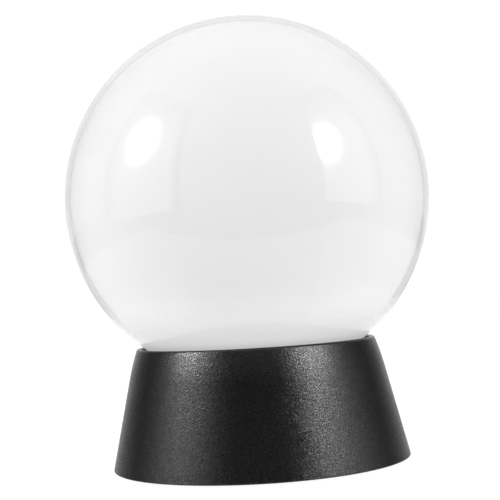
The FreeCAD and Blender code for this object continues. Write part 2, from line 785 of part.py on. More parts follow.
def battery_door():
    """Lid with a round nose, two pintles, grip ribs and a countersunk screw hole."""
    lid = block(DOOR_START_X, DOOR_END_X, -DOOR_HALF_Y, DOOR_HALF_Y, PLATE_Z, DOOR_TOP_Z)
    neck = block(HINGE_X, DOOR_START_X + 0.5, -NOSE_HALF_Y, NOSE_HALF_Y, PLATE_Z, DOOR_TOP_Z)
    nose = rod(V(HINGE_X, -NOSE_HALF_Y, HINGE_Z), NOSE_R, 2 * NOSE_HALF_Y, V(0, 1, 0))
    reach = NOSE_HALF_Y + PINTLE_L
    pin = rod(V(HINGE_X, -reach, HINGE_Z), PINTLE_R, 2 * reach, V(0, 1, 0))
    door = lid.fuse(neck).fuse(nose).fuse(pin)
    for i in range(GRIPS):
        x = GRIP_X + GRIP_PITCH * i
        groove = rod(V(x, -GRIP_HALF_Y, PLATE_Z - GRIP_R / 2), GRIP_R, 2 * GRIP_HALF_Y, V(0, 1, 0))
        door = door.cut(groove)
    play = SCREW_PLAY
    door = door.cut(lathe([
        (0, PLATE_Z - OVER, 0),
        (SCREW_HEAD_R + play, PLATE_Z - OVER, 0),
        (SCREW_HEAD_R + play, SCREW_HEAD_Z, 0),
        (SCREW_SHANK_R + play, SCREW_NECK_Z + play, 0),
        (SCREW_SHANK_R + play, DOOR_TOP_Z + OVER, 0),
        (0, DOOR_TOP_Z + OVER, 0),
    ]).translated(V(SCREW_X, 0, 0)))
    return door.removeSplitter()


def door_pad():
    """Foam strip that presses on the cells."""
    return block(-PAD_HALF_X, PAD_HALF_X, -PAD_HALF_Y, PAD_HALF_Y, DOOR_TOP_Z, DOOR_TOP_Z + PAD_T, 1.0)


def door_screw():
    """Countersunk captive screw with a cross recess."""
    point = 0.7
    screw = lathe([
        (0, SCREW_HEAD_Z, 0),
        (SCREW_HEAD_R, SCREW_HEAD_Z, 0),
        (SCREW_SHANK_R, SCREW_NECK_Z, 0),
        (SCREW_SHANK_R, SCREW_TIP_Z - point, 0),
        (SCREW_SHANK_R - point, SCREW_TIP_Z, 0),
        (0, SCREW_TIP_Z, 0),
    ])
    screw = screw.cut(cross_recess(SCREW_HEAD_Z, 1.2, 0.7))
    screw.translate(V(SCREW_X, 0, 0))
    return screw


def screw_retainer():
    """Washer gripped by the shank above the door, so that the screw stays in the door."""
    ring = lathe([
        (SCREW_SHANK_R, RETAINER_Z, 0),
        (RETAINER_R, RETAINER_Z, 0),
        (RETAINER_R, RETAINER_TOP_Z, 0),
        (SCREW_SHANK_R, RETAINER_TOP_Z, 0),
    ])
    ring.translate(V(SCREW_X, 0, 0))
    return ring


def slider_block_z():
    """Lower and upper face of the slider's block inside the switch."""
    return FLANGE_TOP_Z + 0.2, FLANGE_TOP_Z + 1.8


def switch_housing():
    """Switch can with fixing flanges, a hollow for the slider and three pins."""
    low, high = slider_block_z()
    can = block(-CAN_HALF_X, CAN_HALF_X, -CAN_HALF_Y, CAN_HALF_Y, PLATE_TOP_Z, CAN_TOP_Z, 0.3)
    flange = block(-FLANGE_HALF_X, FLANGE_HALF_X, -2.2, 2.2, PLATE_TOP_Z, FLANGE_TOP_Z, 0.6)
    can = can.fuse(flange)
    hollow = block(-5.0, 5.0, -1.9, 1.9, low - SLIDER_PLAY, high + SLIDER_PLAY)
    mouth = block(-4.2, 4.2, -SLIDER_HALF_Y - 0.2, SLIDER_HALF_Y + 0.2, PLATE_TOP_Z - 1.0, low + 0.5)
    can = can.cut(hollow).cut(mouth)
    for side in (-1, 1):
        can = can.cut(rod(V(side * SWITCH_SCREW_X, 0, PLATE_TOP_Z - 1.0), 0.95, 4.0))
    for i in range(3):
        x = (i - 1) * 2.5
        can = can.fuse(block(x - 0.4, x + 0.4, -0.2, 0.2, CAN_TOP_Z - 0.5, CAN_TOP_Z + 2.0))
    can = can.removeSplitter()
    can.translate(V(0, SWITCH_Y, 0))
    return can


def switch_slider():
    """Thumb slider, in its off place."""
    low, high = slider_block_z()
    stem = block(-SLIDER_HALF_X, SLIDER_HALF_X, -SLIDER_HALF_Y, SLIDER_HALF_Y, SLIDER_Z, low + 0.2, 0.3)
    head = block(-2.4, 2.4, -1.8, 1.8, low, high)
    slider = stem.fuse(head)
    for i in range(3):
        x = (i - 1) * 1.0
        slider = slider.cut(block(x - 0.2, x + 0.2, -2.0, 2.0, SLIDER_Z - 0.5, SLIDER_Z + 0.25))
    slider = slider.removeSplitter()
    slider.translate(V(-SWITCH_TRAVEL / 2, SWITCH_Y, 0))
    return slider


def switch_screws():
    """Two small screws that hold the switch to the plate."""
    screws = []
    for side in (-1, 1):
        screw = pan_screw(V(0, 0, 0), 0.8, 2.1, 1.5, 1.0)
        screw.rotate(V(0, 0, 0), V(1, 0, 0), 180)
        screw.translate(V(side * SWITCH_SCREW_X, SWITCH_Y, FLANGE_TOP_Z))
        screws.append(screw)
    return screws


def wire(points):
    """Round insulated wire along a smooth curve that the points pull on."""
    curve = Part.BSplineCurve()
    curve.buildFromPoles(points)
    spine = Part.Wire(curve.toShape())
    ring = Part.Wire(Part.makeCircle(WIRE_R, points[0], points[1] - points[0]))
    return spine.makePipeShell([ring], True, True)


def lead_red():
    """Positive terminal to the board."""
    x = BOX_HALF_X + WIRE_R + 0.05
    end = V(16.5, -15.5, BOARD_TOP_Z + 0.05)
    return wire([V(x, -CELL_PITCH, 17.4), V(x, -CELL_PITCH, 21.5), V(25.5, -14.0, 23.0), V(21.0, -15.5, 23.2),
                 V(end.x, end.y, 23.2), end])


def lead_black():
    """Negative terminal to the switch."""
    x = -BOX_HALF_X - WIRE_R - 0.05
    end = V(-2.5, SWITCH_Y - 0.9, CAN_TOP_Z + 1.2)
    return wire([V(x, CELL_PITCH, 17.4), V(x, CELL_PITCH, 22.0), V(-26.5, 22.0, 20.5), V(-12.0, 31.5, 17.0),
                 V(end.x, end.y, 15.5), end])


def lead_switch():
    """Switch to the board."""
    start = V(0, SWITCH_Y - 0.9, CAN_TOP_Z + 1.2)
    end = V(4.5, 17.5, BOARD_TOP_Z + 0.05)
    return wire([start, V(start.x, start.y, 17.0), V(4.5, 32.5, 22.5), V(5.5, 27.0, 22.8), V(5.0, 20.5, 22.4),
                 V(end.x, end.y, 22.4), end])


PIECES = {
    "globe_shell": globe_shell,
    "opal_liner": opal_liner,
    "globe_collar": globe_collar,
    "base_housing": base_housing,
    "seat_gasket": seat_gasket,
    "light_deck": light_deck,
    "light_deck_screws": light_deck_screws,
    "led_board": led_board,
    "led_board_screws": led_board_screws,
    "leds": leds,
    "driver_chip": driver_chip,
    "board_resistors": board_resistors,
    "board_capacitor": board_capacitor,
    "bottom_plate": bottom_plate,
    "bottom_plate_screws": bottom_plate_screws,
    "rubber_feet": rubber_feet,
    "battery_cells": battery_cells,
    "contact_springs": contact_springs,
    "link_plates": link_plates,
    "terminal_plates": terminal_plates,
    "battery_door": battery_door,
    "door_pad": door_pad,
    "door_screw": door_screw,
    "screw_retainer": screw_retainer,
    "switch_housing": switch_housing,
    "switch_slider": switch_slider,
    "switch_screws": switch_screws,
    "lead_red": lead_red,
    "lead_black": lead_black,
    "lead_switch": lead_switch,
}

os.makedirs("parts", exist_ok=True)
for name, build in PIECES.items():
    made = build()
    solid = Part.makeCompound(made) if isinstance(made, list) else made
    solid.exportStep("parts/" + name + ".step")
    print(name, "solids", len(solid.Solids), "valid", solid.isValid(), "volume", round(solid.Volume, 1))
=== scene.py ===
"""Looks of the light-up crystal ball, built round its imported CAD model. Lengths are in metres."""

import bmesh
import bpy
import math
from mathutils import Matrix, Vector, noise as snoise


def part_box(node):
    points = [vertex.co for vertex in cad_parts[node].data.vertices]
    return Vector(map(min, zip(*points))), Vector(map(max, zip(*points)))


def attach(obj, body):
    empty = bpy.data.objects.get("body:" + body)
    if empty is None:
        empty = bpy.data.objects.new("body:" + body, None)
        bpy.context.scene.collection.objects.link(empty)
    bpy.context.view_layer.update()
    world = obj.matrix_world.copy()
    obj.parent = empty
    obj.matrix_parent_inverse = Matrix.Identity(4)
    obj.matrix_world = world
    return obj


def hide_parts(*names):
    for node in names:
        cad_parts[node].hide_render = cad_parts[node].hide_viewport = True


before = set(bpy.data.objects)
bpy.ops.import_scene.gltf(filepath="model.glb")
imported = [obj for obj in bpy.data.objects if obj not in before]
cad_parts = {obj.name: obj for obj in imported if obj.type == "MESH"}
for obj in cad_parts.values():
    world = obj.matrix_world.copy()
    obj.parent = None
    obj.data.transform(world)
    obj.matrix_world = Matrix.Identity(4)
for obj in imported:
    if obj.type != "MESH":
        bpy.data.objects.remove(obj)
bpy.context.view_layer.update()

MM = 0.001


def reach(node):
    """How far a CAD node's mesh stands from the Z axis."""
    return max(math.hypot(v.co.x, v.co.y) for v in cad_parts[node].data.vertices)


def groups(node, end):
    """Middles of the separate spots where a CAD node's mesh is lowest (end 0) or highest (end 1)."""
    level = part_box(node)[end].z
    spots = []
    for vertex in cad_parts[node].data.vertices:
        if abs(vertex.co.z - level) > 0.06 * MM:
            continue
        near = [spot for spot in spots if (spot[0] - vertex.co).length < 2.0 * MM]
        if near:
            near[0].append(vertex.co.copy())
        else:
            spots.append([vertex.co.copy()])
    return [sum(spot, Vector()) / len(spot) for spot in spots]


# Sizes taken from the frame
GLOBE_R = reach("globe_shell")
GLOBE_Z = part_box("globe_shell")[1].z - GLOBE_R
NECK_END_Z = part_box("globe_shell")[0].z
LINER_R = reach("opal_liner")
BASE_HIGH_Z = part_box("base_housing")[1].z
BASE_LOW_R = reach("base_housing")

# The globe's walls and neck
SHELL_WALL = 2.1 * MM
LINER_WALL = 0.8 * MM
NECK_R = 30.0 * MM
NECK_BEND = 2.0 * MM
GLOBE_AROUND = 288
GLOBE_UP = 150
BEND_STEPS = 10
FOOT_STEPS = 4
LATHE_SHARP = math.radians(40)

# Milky skin: its own grey, and a painted glow (emission) standing in for light scattered inside the globe,
# with more painted glow at its outline and next to the base, as shares of white
OPAL_BODY = 0.375
OPAL_PAINTED_GLOW = 0.578
OPAL_PAINTED_RIM_GLOW = 0.05
OPAL_PAINTED_FOOT_GLOW = 0.10
OPAL_PAINTED_FOOT_REACH = 25.0 * MM

# Haze in the clear wall next to the base; the haze has a painted glow (emission), dimmer towards its
# outline
CLEAR_IOR = 1.49
HAZE_FROM = 1.0 * MM
HAZE_REACH = 17.0 * MM
HAZE_MOST = 0.92
HAZE_PAINTED_GLOW = 0.585
HAZE_PAINTED_RIM_DIMMING = 0.13

# Materials: usual range of noise values, tinned metal, the cells' bare tip and coloured band, ring tracks
NOISE_LOW = 0.3
NOISE_HIGH = 0.7
TIN = (0.70, 0.70, 0.68, 1)
CELL_TIP = 1.35 * MM
CELL_BAND = 13.5 * MM
BOARD_TRACKS = (7.2 * MM, 8.6 * MM, 15.6 * MM, 17.2 * MM)

# Foam pieces: points round the ring's section and how square it is; the pad's grid, its corners, how
# deep the cells press it, how far its edges roll (shares of its thickness) and how wide its hollows are
FOAM_SECTION = 40
FOAM_SQUARE = 0.32
FOAM_UNEVEN = 0.05 * MM
PAD_CELLS = 72
PAD_CORNER = 1.0 * MM
PAD_PRESS = 0.16 * MM
PAD_ROLL_TOP = 0.32
PAD_ROLL_UNDER = 0.12
PAD_ROLL_WIDE = 0.35 * MM
PAD_HOLLOW = 0.32
PAD_SHARP = math.radians(50)

# Camera: where it stands, seen from the globe's middle, and how it is held
CAMERA_FAR = 0.480
CAMERA_ELEVATION = -3.88
CAMERA_AIM_Z = 0.0821
CAMERA_ROLL = 3.40
CAMERA_LENS = 89.0

# Room, as reflections see it: dark behind the camera, dim at the sides, white backdrop and ceiling.
# ENDS, STARTS and FULL say where one gives way to the next, along Y (or Z for the top) of a unit direction.
ROOM_FRONT = 0.06
ROOM_SIDE = 0.39
ROOM_BACK = 1.08
ROOM_TOP = 0.58
ROOM_FRONT_ENDS = -0.70
ROOM_SIDE_ENDS = 0.76
ROOM_BACK_FULL = 0.97
ROOM_TOP_STARTS = 0.35
ROOM_TOP_FULL = 0.95
BACKDROP = 1.05
SEEN_THROUGH = 0.95

# Table top: a lit sheet under the object, then the room beyond its edges
FLOOR_HALF = 3.0
FLOOR_DROP = 0.02 * MM
TABLE_EDGE = 4.0 * MM
TABLE_GLOW = 0.78
TABLE_WHITE = 0.95
TABLE_SEEN_THROUGH = 0.83
TABLE_LIT = 0.14
TABLE_FRONT = 0.225
TABLE_SIDE = 0.30
TABLE_SIDE_FADE = 0.15
TABLE_SHADE = 0.78
TABLE_SHADE_ANGLE = 41.0
TABLE_SHADE_SOFT = 0.03
TABLE_SHADE_OFF = 10.0 * MM

# Diffusing screens either side of the camera, each with a hot spot and a halo from the lamp behind it.
# A screen is at its full glow up to these shares of its width and height, and fades from there.
# Angles are degrees round from the camera's side (left is negative) and up.
SCREEN_FAR = 0.95
SCREEN_TOP = 1.30
SCREEN_FULL_WIDE = 0.66
SCREEN_FULL_HIGH = 0.45
HALO_SIZE = 2.6
HALO_SHARE = 0.005
SCREENS = {
    "screen_right": {"inner": 46.4, "outer": 90.0, "hot": (52.3, 25.5), "glow": 0.98, "lamp": 34.0,
                     "spot": 0.097, "tall": 1.20, "edge": 0.004},
    "screen_left": {"inner": -40.0, "outer": -96.0, "hot": (-70.0, 31.0), "glow": 0.83, "lamp": 33.0,
                    "spot": 0.097, "tall": 1.30, "edge": 0.14},
}


# ---------------------------------------------------------------- shader helpers

def new_material(name):
    """Empty node material and its output node."""
    material = bpy.data.materials.new(name)
    material.use_nodes = True
    tree = material.node_tree
    tree.nodes.clear()
    output = tree.nodes.new("ShaderNodeOutputMaterial")
    return material, tree, output


def put(tree, kind, settings=None, **inputs):
    """Adds a node; settings are its properties, inputs its socket values or links."""
    made = tree.nodes.new(kind)
    for name, value in (settings or {}).items():
        setattr(made, name, value)
    for name, value in inputs.items():
        socket = made.inputs[int(name[1:])] if name[1:].isdigit() else made.inputs[name.replace("_", " ")]
        if isinstance(value, bpy.types.NodeSocket):
            tree.links.new(value, socket)
        else:
            socket.default_value = value
    return made


def math_node(tree, operation, a, b=0.0):
    """One maths step on numbers or sockets."""
    return put(tree, "ShaderNodeMath", {"operation": operation}, i0=a, i1=b).outputs[0]


def plus(tree, a, b):
    """Sum of two numbers."""
    return math_node(tree, "ADD", a, b)


def minus(tree, a, b):
    """Difference of two numbers."""
    return math_node(tree, "SUBTRACT", a, b)


def times(tree, a, b):
    """Product of two numbers."""
    return math_node(tree, "MULTIPLY", a, b)


def either(tree, a, b):
    """The greater of two numbers."""
    return math_node(tree, "MAXIMUM", a, b)


def vector_node(tree, operation, a, b=(0.0, 0.0, 0.0)):
    """One step on vectors; output 0 is a vector and output 1 a number."""
    return put(tree, "ShaderNodeVectorMath", {"operation": operation}, i0=a, i1=b)


def length_of(tree, vector):
    """Length of a vector."""
    return vector_node(tree, "LENGTH", vector).outputs["Value"]


def flat_part(tree, vector):
    """A vector with its Z part taken out."""
    return vector_node(tree, "MULTIPLY", vector, (1.0, 1.0, 0.0)).outputs[0]


def unit(tree, vector):
    """A vector with its length made one."""
    return vector_node(tree, "NORMALIZE", vector).outputs[0]


def part(tree, vector, axis):
    """One part of a vector: axis 0, 1 or 2."""
    return put(tree, "ShaderNodeSeparateXYZ", Vector=vector).outputs[axis]


def ramp(tree, value, low, high, out_low=0.0, out_high=1.0):
    """Maps a value smoothly from one range to another."""
    made = put(tree, "ShaderNodeMapRange", {"interpolation_type": "SMOOTHSTEP"}, Value=value,
               From_Min=low, From_Max=high, To_Min=out_low, To_Max=out_high)
    return made.outputs[0]


def spread(tree, value, out_low=0.0, out_high=1.0):
    """Maps noise smoothly from its usual range to another."""
    return ramp(tree, value, NOISE_LOW, NOISE_HIGH, out_low, out_high)


def mix_colour(tree, factor, a, b):
    """Blend of two colours."""
    return put(tree, "ShaderNodeMix", {"data_type": "RGBA"}, i0=factor, i6=a, i7=b).outputs[2]


def mix_value(tree, factor, a, b):
    """Blend of two numbers."""
    return put(tree, "ShaderNodeMix", {"data_type": "FLOAT"}, i0=factor, i2=a, i3=b).outputs[0]


def by_ray(tree, reflected, straight, seen_through=SEEN_THROUGH):
    """Brightness that differs for reflections, for what shows through the clear wall and for the camera."""
    path = put(tree, "ShaderNodeLightPath")
    through = mix_value(tree, path.outputs["Is Transmission Ray"], reflected, seen_through)
    return mix_value(tree, path.outputs["Is Camera Ray"], through, straight)


def grey(value):
    """A grey as a colour."""
    return (value, value, value, 1.0)


def noise(tree, where, scale, detail=2.0, roughness=0.5):
    """Noise value; scale is in features for each metre."""
    made = put(tree, "ShaderNodeTexNoise", Vector=where, Scale=scale, Detail=detail, Roughness=roughness)
    return made.outputs["Fac"]


def place(tree):
    """Position on the piece, in metres, which moves with the piece."""
    return put(tree, "ShaderNodeTexCoord").outputs["Object"]


def height_of(tree, where):
    """The Z part of a position."""
    return part(tree, where, 2)


def facing_away(tree):
    """Zero where the surface faces the camera, rising to one at its outline."""
    return put(tree, "ShaderNodeLayerWeight", Blend=0.5).outputs["Facing"]


def face_part(tree, axis):
    """One part of the direction that the mesh's face looks in."""
    return part(tree, put(tree, "ShaderNodeNewGeometry").outputs["True Normal"], axis)


def bumps(tree, height, depth, strength=1.0):
    """Surface direction over bumps of a depth in metres."""
    return put(tree, "ShaderNodeBump", Strength=strength, Distance=depth, Height=height).outputs[0]


def plastic(tree, output, **inputs):
    """Connects one general surface with these inputs to the material's output."""
    body = put(tree, "ShaderNodeBsdfPrincipled", **inputs)
    tree.links.new(body.outputs[0], output.inputs[0])


def stripe(tree, value, middle, half):
    """One on a line of this half width about a value, with a thin soft edge."""
    off = math_node(tree, "ABSOLUTE", minus(tree, value, middle))
    return ramp(tree, off, half * 0.85, half * 1.15, 1.0, 0.0)


# ---------------------------------------------------------------- materials

def opal_material():
    """Milky plastic skin: a bright diffuse body with a painted glow (emission) standing in for light
    scattered inside it, brighter at its outline and next to the base.
    """
    material, tree, output = new_material("opal_skin")
    where = place(tree)
    cloud = noise(tree, where, 18.0, 3.0)
    colour = mix_colour(tree, spread(tree, cloud), grey(OPAL_BODY), grey(OPAL_BODY + 0.02))
    fine = noise(tree, where, 900.0, 2.0)
    # painted rim glow: the emission rises towards the outline
    painted_rim_glow = ramp(tree, facing_away(tree), 0.08, 0.60, OPAL_PAINTED_GLOW, OPAL_PAINTED_GLOW + OPAL_PAINTED_RIM_GLOW)
    # painted glow over the shade next to the base: the emission rises towards the bottom
    foot = ramp(tree, height_of(tree, where), BASE_HIGH_Z, BASE_HIGH_Z + OPAL_PAINTED_FOOT_REACH, OPAL_PAINTED_FOOT_GLOW, 0.0)
    plastic(tree, output, Base_Color=colour, Roughness=0.55, Normal=bumps(tree, fine, 0.05 * MM, 0.05),
            Subsurface_Weight=0.35, Subsurface_Radius=(1.0, 1.0, 1.0), Subsurface_Scale=3.0 * MM,
            Emission_Color=grey(1), Emission_Strength=plus(tree, painted_rim_glow, foot))
    return material


def clear_material():
    """Clear globe wall. Light rays and soft bounces pass it, so the milky skin inside is lit."""
    material, tree, output = new_material("clear_wall")
    where = place(tree)
    wave = noise(tree, where, 22.0, 2.0)
    smear = ramp(tree, noise(tree, where, 60.0, 4.0), 0.35, 0.75, 0.012, 0.035)
    wall = put(tree, "ShaderNodeBsdfGlass", Color=grey(0.985), Roughness=smear, IOR=CLEAR_IOR,
               Normal=bumps(tree, wave, 0.3 * MM, 0.12))
    open_way = put(tree, "ShaderNodeBsdfTransparent", Color=grey(0.97))
    path = put(tree, "ShaderNodeLightPath")
    soft = either(tree, path.outputs["Is Shadow Ray"], path.outputs["Is Diffuse Ray"])
    # painted glow of the haze: emission, dimmer towards the outline
    painted_glow = ramp(tree, facing_away(tree), 0.15, 0.75, HAZE_PAINTED_GLOW, HAZE_PAINTED_GLOW - HAZE_PAINTED_RIM_DIMMING)
    milky = put(tree, "ShaderNodeBsdfPrincipled", Base_Color=grey(OPAL_BODY), Roughness=0.05, IOR=CLEAR_IOR,
                Emission_Color=grey(1), Emission_Strength=painted_glow)
    height = height_of(tree, where)
    haze = ramp(tree, height, BASE_HIGH_Z + HAZE_FROM, BASE_HIGH_Z + HAZE_REACH, HAZE_MOST, 0.0)
    wall = put(tree, "ShaderNodeMixShader", i0=haze, i1=wall.outputs[0], i2=milky.outputs[0])
    mixed = put(tree, "ShaderNodeMixShader", i0=soft, i1=wall.outputs[0], i2=open_way.outputs[0])
    tree.links.new(mixed.outputs[0], output.inputs[0])
    return material


def eroded_material(name, colour=0.003, grain=0.50 * MM, depth=0.06 * MM, gloss=0.24, uneven=0.45):
    """Black plastic moulded against a spark-eroded tool: rounded grain of uneven shine."""
    material, tree, output = new_material(name)
    where = place(tree)
    cells = put(tree, "ShaderNodeTexVoronoi", {"feature": "SMOOTH_F1"}, Vector=where, Scale=1.0 / grain,
                Smoothness=0.5)
    fine = noise(tree, where, 1.8 / grain, 2.0)
    height = plus(tree, cells.outputs["Distance"], times(tree, fine, 0.9))
    patch = noise(tree, where, 90.0, 3.0)
    rough = plus(tree, spread(tree, patch, gloss - 0.012, gloss + 0.016),
                 ramp(tree, fine, 0.35, 0.65, -0.04, 0.04))
    dust = ramp(tree, noise(tree, where, 320.0, 5.0), 0.62, 0.8)
    shade = mix_colour(tree, dust, grey(colour), grey(colour * 2.2))
    speck = ramp(tree, noise(tree, where, 1.15 / grain, 1.0), 0.36, 0.66, 1.0 - uneven, 1.0 + uneven)
    shine = times(tree, ramp(tree, facing_away(tree), 0.24, 0.52, 0.5, 0.08), speck)
    plastic(tree, output, Base_Color=shade, Roughness=rough, IOR=1.70, Normal=bumps(tree, height, depth),
            Specular_IOR_Level=shine)
    return material


def moulded_material(name, colour, gloss=0.3, grain=0.25 * MM, depth=0.01 * MM, speck=0.15):
    """Plain moulded plastic with fine grain and uneven gloss."""
    material, tree, output = new_material(name)
    where = place(tree)
    fine = noise(tree, where, 1.0 / grain, 3.0)
    patch = noise(tree, where, 120.0, 4.0)
    rough = spread(tree, patch, gloss - 0.05, gloss + 0.08)
    darker = tuple(c * (1.0 - speck) for c in colour[:3]) + (1,)
    lighter = tuple(min(1.0, c * (1.0 + speck)) for c in colour[:3]) + (1,)
    shade = mix_colour(tree, spread(tree, patch), darker, lighter)
    plastic(tree, output, Base_Color=shade, Roughness=rough, IOR=1.5, Normal=bumps(tree, fine, depth, 0.6))
    return material


def metal_material(name, colour, gloss=0.3):
    """Plated metal with a fine grain and dull patches."""
    material, tree, output = new_material(name)
    where = place(tree)
    lines = noise(tree, where, 2500.0, 3.0)
    patch = noise(tree, where, 400.0, 4.0)
    rough = plus(tree, spread(tree, patch, gloss - 0.08, gloss + 0.1),
                 spread(tree, lines, -0.04, 0.04))
    dull = tuple(c * 0.7 for c in colour[:3]) + (1,)
    shade = mix_colour(tree, ramp(tree, patch, 0.35, 0.75), colour, dull)
    plastic(tree, output, Base_Color=shade, Roughness=rough, Metallic=1.0,
            Normal=bumps(tree, lines, 0.02 * MM, 0.25))
    return material


def rubber_material():
    """Moulded rubber feet: dull black with dust rubbed into the face they stand on."""
    material, tree, output = new_material("foot_rubber")
    where = place(tree)
    grain = noise(tree, where, 5200.0, 3.0)
    patch = noise(tree, where, 700.0, 5.0)
    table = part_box("rubber_feet")[0].z
    low = ramp(tree, height_of(tree, where), table, table + 0.7 * MM, 1.0, 0.0)
    dusty = times(tree, low, ramp(tree, patch, 0.35, 0.65, 0.15, 0.75))
    shade = mix_colour(tree, dusty, (0.018, 0.018, 0.019, 1), (0.105, 0.10, 0.092, 1))
    plastic(tree, output, Base_Color=shade, Roughness=spread(tree, patch, 0.62, 0.8), IOR=1.52,
            Normal=bumps(tree, grain, 0.03 * MM, 0.7), Sheen_Weight=0.12)
    return material


def foam_material(name, colour, pore=0.35 * MM):
    """Black closed-cell foam: small pores of two sizes whose floors are darkened with painted shade, and a
    soft sheen.
    """
    material, tree, output = new_material(name)
    where = place(tree)
    large = put(tree, "ShaderNodeTexVoronoi", Vector=where, Scale=1.0 / pore).outputs["Distance"]
    small = put(tree, "ShaderNodeTexVoronoi", Vector=where, Scale=2.6 / pore).outputs["Distance"]
    wall = plus(tree, ramp(tree, large, 0.1, 0.55), times(tree, small, 0.4))
    # painted shade: the pores' floors are darker than the foam's own colour
    pore_painted_shade = tuple(c * 0.45 for c in colour[:3]) + (1,)
    shade = mix_colour(tree, ramp(tree, wall, 0.2, 0.9), pore_painted_shade, colour)
    plastic(tree, output, Base_Color=shade, Roughness=0.88, Normal=bumps(tree, wall, 0.12 * MM, 0.9),
            Sheen_Weight=0.25)
    return material


def cell_material():
    """AAA cells: printed shrink sleeve in two plain colours, bare plated steel at both ends."""
    low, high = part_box("battery_cells")
    pitch = high.y - (high.z - low.z) / 2
    material, tree, output = new_material("cell_jacket")
    where = place(tree)
    middle = math_node(tree, "LESS_THAN", math_node(tree, "ABSOLUTE", part(tree, where, 1)), pitch / 2)
    way = minus(tree, 1.0, times(tree, middle, 2.0))
    along = times(tree, part(tree, where, 0), way)
    end_on = math_node(tree, "ABSOLUTE", face_part(tree, 0))
    tip = math_node(tree, "GREATER_THAN", along, high.x - CELL_TIP)
    bare = either(tree, math_node(tree, "GREATER_THAN", end_on, 0.75), tip)
    gold_from = high.x - CELL_BAND
    gold = math_node(tree, "GREATER_THAN", along, gold_from)
    off = math_node(tree, "ABSOLUTE", minus(tree, along, gold_from))
    line = ramp(tree, off, 0.28 * MM, 0.36 * MM, 1.0, 0.0)
    flakes = noise(tree, where, 3800.0, 2.0)
    patch = noise(tree, where, 260.0, 4.0)
    sleeve = mix_colour(tree, gold, (0.035, 0.036, 0.042, 1), (0.58, 0.30, 0.10, 1))
    sleeve = mix_colour(tree, line, sleeve, (0.72, 0.72, 0.70, 1))
    shade = mix_colour(tree, bare, sleeve, (0.62, 0.61, 0.58, 1))
    shine = either(tree, bare, times(tree, gold, 0.7))
    rough = plus(tree, spread(tree, patch, 0.22, 0.34), spread(tree, flakes, -0.03, 0.03))
    plastic(tree, output, Base_Color=shade, Roughness=rough, Metallic=shine,
            Normal=bumps(tree, patch, 0.03 * MM, 0.3),
            Coat_Weight=times(tree, minus(tree, 1.0, bare), 0.6), Coat_Roughness=0.12)
    return material


def lamp_material():
    """Round lamps: faintly milky epoxy above the board, tinned legs below it."""
    lamp_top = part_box("leds")[1].z
    board_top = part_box("led_board")[1].z
    material, tree, output = new_material("lamp_epoxy")
    where = place(tree)
    patch = noise(tree, where, 900.0, 3.0)
    height = height_of(tree, where)
    legs = ramp(tree, height, board_top - 0.05 * MM, board_top, 1.0, 0.0)
    warm = ramp(tree, height, board_top + 1.2 * MM, lamp_top - 3.5 * MM, 1.0, 0.0)
    shade = mix_colour(tree, warm, (0.90, 0.91, 0.92, 1), (0.86, 0.72, 0.30, 1))
    shade = mix_colour(tree, legs, shade, (0.66, 0.66, 0.64, 1))
    plastic(tree, output, Base_Color=shade, IOR=1.54, Roughness=spread(tree, patch, 0.06, 0.16),
            Metallic=legs, Transmission_Weight=times(tree, minus(tree, 1.0, legs), 0.55))
    return material


def board_material():
    """Lamp board: green mask over ring tracks, white lamp outlines, tinned pads and a bare fibre edge."""
    material, tree, output = new_material("board_mask")
    where = place(tree)
    flat = flat_part(tree, where)
    radius = length_of(tree, flat)
    outline, pad, track = 0.0, 0.0, 0.0
    for centre in groups("leds", 1):
        gap = vector_node(tree, "DISTANCE", flat, (centre.x, centre.y, 0.0)).outputs["Value"]
        outline = either(tree, outline, stripe(tree, gap, 3.3 * MM, 0.12 * MM))
    for centre in groups("leds", 0):
        gap = vector_node(tree, "DISTANCE", flat, (centre.x, centre.y, 0.0)).outputs["Value"]
        pad = either(tree, pad, ramp(tree, gap, 0.85 * MM, 0.95 * MM, 1.0, 0.0))
    for ring in BOARD_TRACKS:
        track = either(tree, track, stripe(tree, radius, ring, 0.32 * MM))
    edge = math_node(tree, "LESS_THAN", math_node(tree, "ABSOLUTE", face_part(tree, 2)), 0.5)
    weave = put(tree, "ShaderNodeTexWave", Vector=where, Scale=900.0, Distortion=1.5).outputs["Fac"]
    fibre = mix_colour(tree, weave, (0.42, 0.36, 0.17, 1), (0.55, 0.48, 0.26, 1))
    patch = noise(tree, where, 220.0, 4.0)
    shade = mix_colour(tree, patch, (0.006, 0.085, 0.030, 1), (0.010, 0.115, 0.042, 1))
    shade = mix_colour(tree, track, shade, (0.022, 0.22, 0.065, 1))
    shade = mix_colour(tree, outline, shade, (0.80, 0.80, 0.78, 1))
    shade = mix_colour(tree, pad, shade, (0.70, 0.69, 0.66, 1))
    shade = mix_colour(tree, edge, shade, fibre)
    raised = plus(tree, track, times(tree, weave, 0.08))
    plastic(tree, output, Base_Color=shade, Metallic=pad, Normal=bumps(tree, raised, 0.05 * MM, 0.8),
            Roughness=mix_value(tree, edge, 0.28, 0.7))
    return material


def chip_material():
    """Driver chip: fine-grained black body and tinned legs."""
    leg_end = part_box("driver_chip")[1].y
    material, tree, output = new_material("chip_epoxy")
    where = place(tree)
    across = math_node(tree, "ABSOLUTE", part(tree, where, 1))
    leg = ramp(tree, across, leg_end - 0.98 * MM, leg_end - 0.94 * MM)
    grain = noise(tree, where, 9000.0, 3.0)
    shade = mix_colour(tree, leg, mix_colour(tree, grain, grey(0.010), grey(0.026)), (0.68, 0.68, 0.66, 1))
    plastic(tree, output, Base_Color=shade, Roughness=mix_value(tree, leg, 0.52, 0.27), Metallic=leg,
            Normal=bumps(tree, grain, 0.015 * MM, 0.6))
    return material


